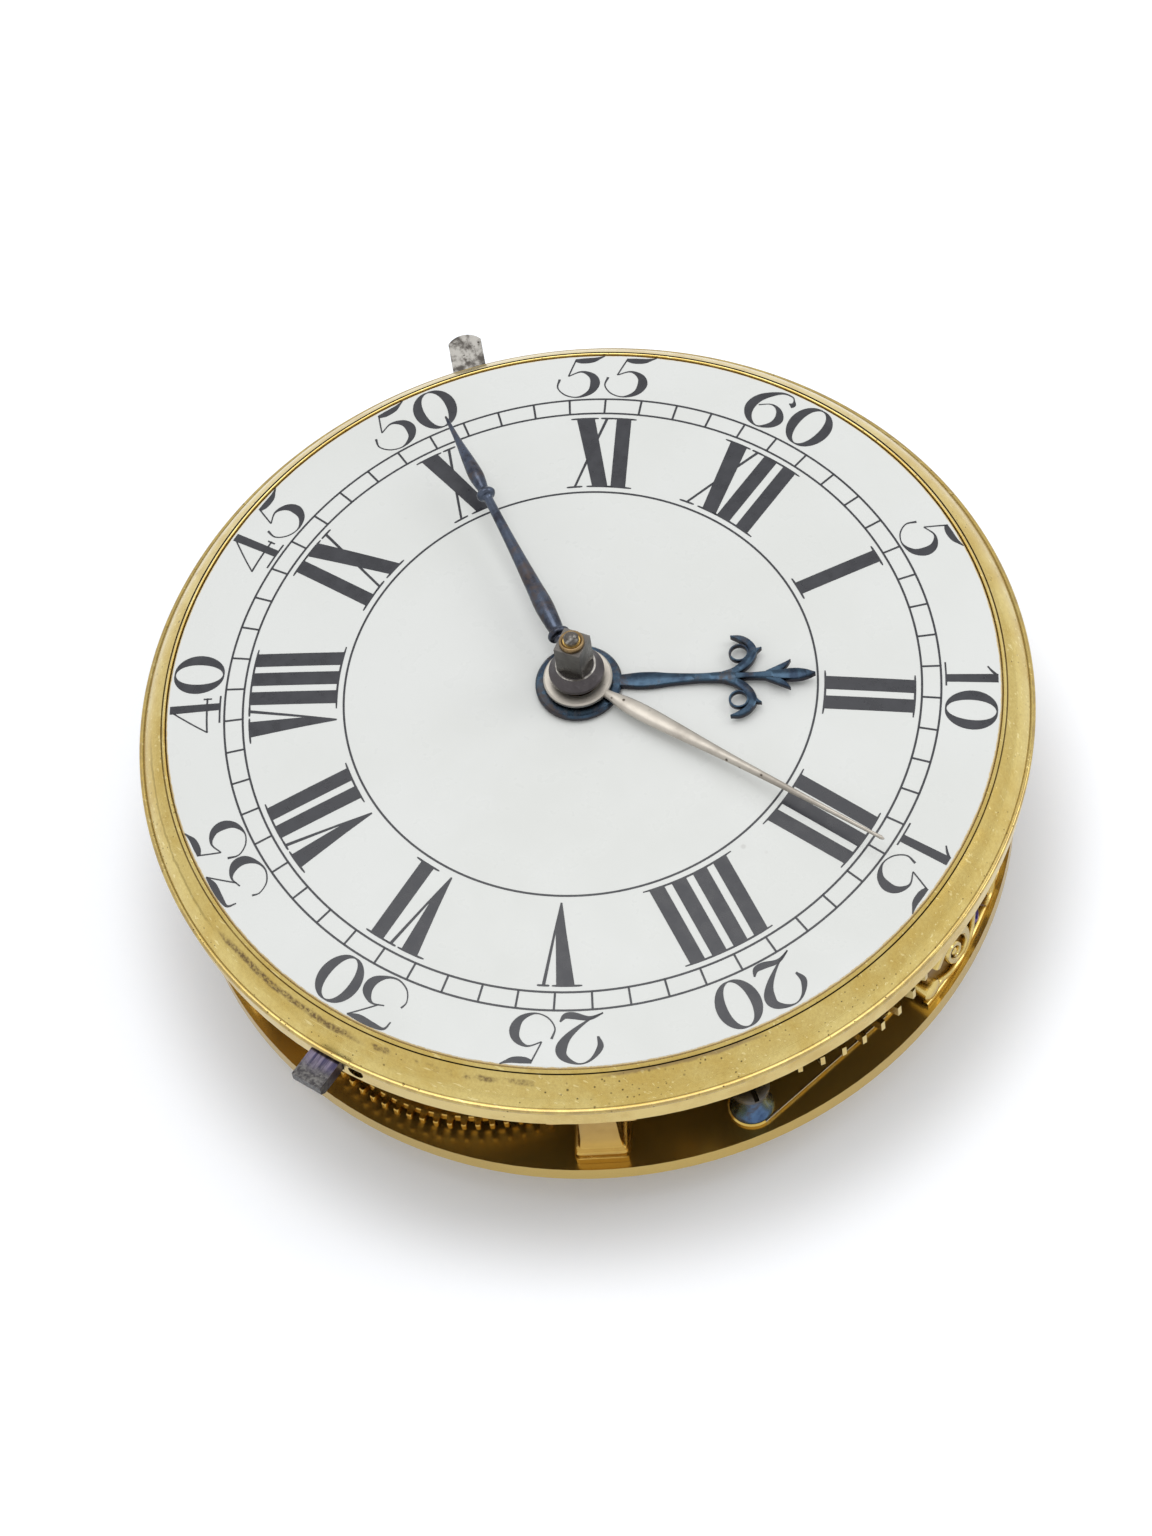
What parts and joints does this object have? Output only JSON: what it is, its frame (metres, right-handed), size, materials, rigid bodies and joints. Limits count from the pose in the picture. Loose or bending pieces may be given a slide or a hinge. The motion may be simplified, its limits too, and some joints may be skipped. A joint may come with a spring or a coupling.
{
  "type": "pocket watch movement",
  "caption": "Round full-plate fusee watch movement with domed enamel dial, three hands, square pillars, chain, cylinder escapement, cocked balance, case bolt and stop lever.",
  "frame": {"origin": "on the centre arbor, at the dial-side face of the pillar plate", "axes": "+Z out of the dial along the centre arbor, +Y to XII, +X to III"},
  "size_m": [0.0428, 0.0445, 0.0191],
  "materials": {
    "gilt": "fire-gilt brass, satin",
    "brass": "turned brass",
    "steel": "polished steel",
    "blued_steel": "heat-blued steel",
    "enamel": "white vitreous enamel on copper",
    "garnet": "polished stone"
  },
  "bodies": {
    "frame": {"pillar_plate": "gilt", "top_plate": "gilt", "pillars": "gilt", "pillar_pins": "brass", "dial_edge": "gilt", "dial": "enamel", "dial_pins": "brass", "case_joint": "gilt", "barrel_arbor": "steel", "mainspring": "steel", "setup_wheel": "brass", "setup_worm": "steel", "worm_brackets": "gilt", "barrel_bar": "gilt", "bar_screws": "blued_steel", "fusee_chain": "steel", "stop_bar": "gilt", "stop_bar_screw": "blued_steel", "scroll_bracket": "gilt", "bracket_screw": "blued_steel", "potence": "gilt", "potence_screw": "blued_steel", "balance_spring": "blued_steel", "spring_stud": "brass", "balance_cock": "gilt", "cock_screw": "blued_steel", "endstone": "garnet", "dial_studs": "steel", "bolt_spring": "steel", "bolt_spring_screw": "blued_steel", "stop_lever_screw": "blued_steel"},
    "centre": {"centre_arbor": "steel", "centre_wheel": "gilt", "cannon_pinion": "steel", "cannon_bush": "brass", "minute_hand": "blued_steel"},
    "great": {"great_wheel": "gilt"},
    "fusee": {"fusee_cone": "brass", "fusee_arbor": "steel"},
    "barrel": {"barrel_drum": "brass", "barrel_cover": "brass"},
    "third": {"third_pinion": "steel", "third_wheel": "gilt"},
    "fourth": {"fourth_pinion": "steel", "fourth_wheel": "gilt", "seconds_driver": "brass"},
    "escape": {"escape_pinion": "steel", "escape_wheel": "gilt"},
    "idler": {"seconds_idler": "brass"},
    "seconds": {"seconds_wheel": "brass", "seconds_hand": "steel"},
    "minute_work": {"minute_wheel": "brass"},
    "hour": {"hour_wheel": "brass", "hour_hand": "blued_steel"},
    "balance": {"balance_staff": "steel", "balance_wheel": "brass"},
    "regulator": {"regulator": "steel"},
    "bolt": {"bolt": "steel"},
    "stop_lever": {"stop_lever": "steel"}
  },
  "joints": [
    {"name": "centre_run", "type": "hinge", "parent": "frame", "child": "centre", "pos_m": [0, 0, 0], "axis": [0, 0, -1], "continuous": true},
    {"name": "great_run", "type": "hinge", "parent": "frame", "child": "great", "pos_m": [0.01087, -0.00291, 0], "axis": [0, 0, -1], "continuous": true},
    {"name": "fusee_wind", "type": "hinge", "parent": "great", "child": "fusee", "pos_m": [0.01087, -0.00291, 0], "axis": [0, 0, -1], "range_deg": [-360, 360], "deforming": ["fusee_chain", "mainspring"]},
    {"name": "barrel_turn", "type": "hinge", "parent": "frame", "child": "barrel", "pos_m": [0.0007, -0.01087, 0], "axis": [0, 0, -1], "range_deg": [-195, 195]},
    {"name": "third_run", "type": "hinge", "parent": "frame", "child": "third", "pos_m": [-0.00791, 0.00048, 0], "axis": [0, 0, -1], "continuous": true},
    {"name": "fourth_run", "type": "hinge", "parent": "frame", "child": "fourth", "pos_m": [-0.00514, 0.0067, 0], "axis": [0, 0, -1], "continuous": true},
    {"name": "escape_run", "type": "hinge", "parent": "frame", "child": "escape", "pos_m": [-0.00007, 0.00854, 0], "axis": [0, 0, -1], "continuous": true},
    {"name": "idler_run", "type": "hinge", "parent": "frame", "child": "idler", "pos_m": [-0.00448, 0.00188, 0], "axis": [0, 0, -1], "continuous": true},
    {"name": "seconds_run", "type": "hinge", "parent": "frame", "child": "seconds", "pos_m": [0, 0, 0], "axis": [0, 0, -1], "continuous": true},
    {"name": "minute_work_run", "type": "hinge", "parent": "frame", "child": "minute_work", "pos_m": [0.0048, 0, 0], "axis": [0, 0, -1], "continuous": true},
    {"name": "hour_run", "type": "hinge", "parent": "frame", "child": "hour", "pos_m": [0, 0, 0], "axis": [0, 0, -1], "continuous": true},
    {"name": "balance_swing", "type": "hinge", "parent": "frame", "child": "balance", "pos_m": [0.00354, 0.00823, 0], "axis": [0, 0, -1], "range_deg": [-110, 110], "stiffness_Nm_per_rad": 0.000002, "deforming": ["balance_spring"]},
    {"name": "regulator_set", "type": "hinge", "parent": "frame", "child": "regulator", "pos_m": [0.00354, 0.00823, 0], "axis": [0, 0, -1], "range_deg": [-25, 25]},
    {"name": "bolt_slide", "type": "slide", "parent": "frame", "child": "bolt", "axis": [0, 1, 0], "range_m": [0, 0.0014], "stiffness_N_per_m": 150, "springref_m": -0.0006, "deforming": ["bolt_spring"]},
    {"name": "stop_lever_turn", "type": "hinge", "parent": "frame", "child": "stop_lever", "pos_m": [-0.01225, 0.0095, 0], "axis": [0, 0, 1], "range_deg": [0, 6]}
  ],
  "couplings": [
    {"joint": "great_run", "follows": "centre_run", "ratio": -0.22222},
    {"joint": "third_run", "follows": "centre_run", "ratio": -8},
    {"joint": "fourth_run", "follows": "centre_run", "ratio": 60},
    {"joint": "escape_run", "follows": "centre_run", "ratio": -540},
    {"joint": "idler_run", "follows": "centre_run", "ratio": -75},
    {"joint": "seconds_run", "follows": "centre_run", "ratio": 60},
    {"joint": "minute_work_run", "follows": "centre_run", "ratio": -0.33333},
    {"joint": "hour_run", "follows": "centre_run", "ratio": 0.083333},
    {"joint": "barrel_turn", "follows": "fusee_wind", "ratio": 0.5317}
  ]
}
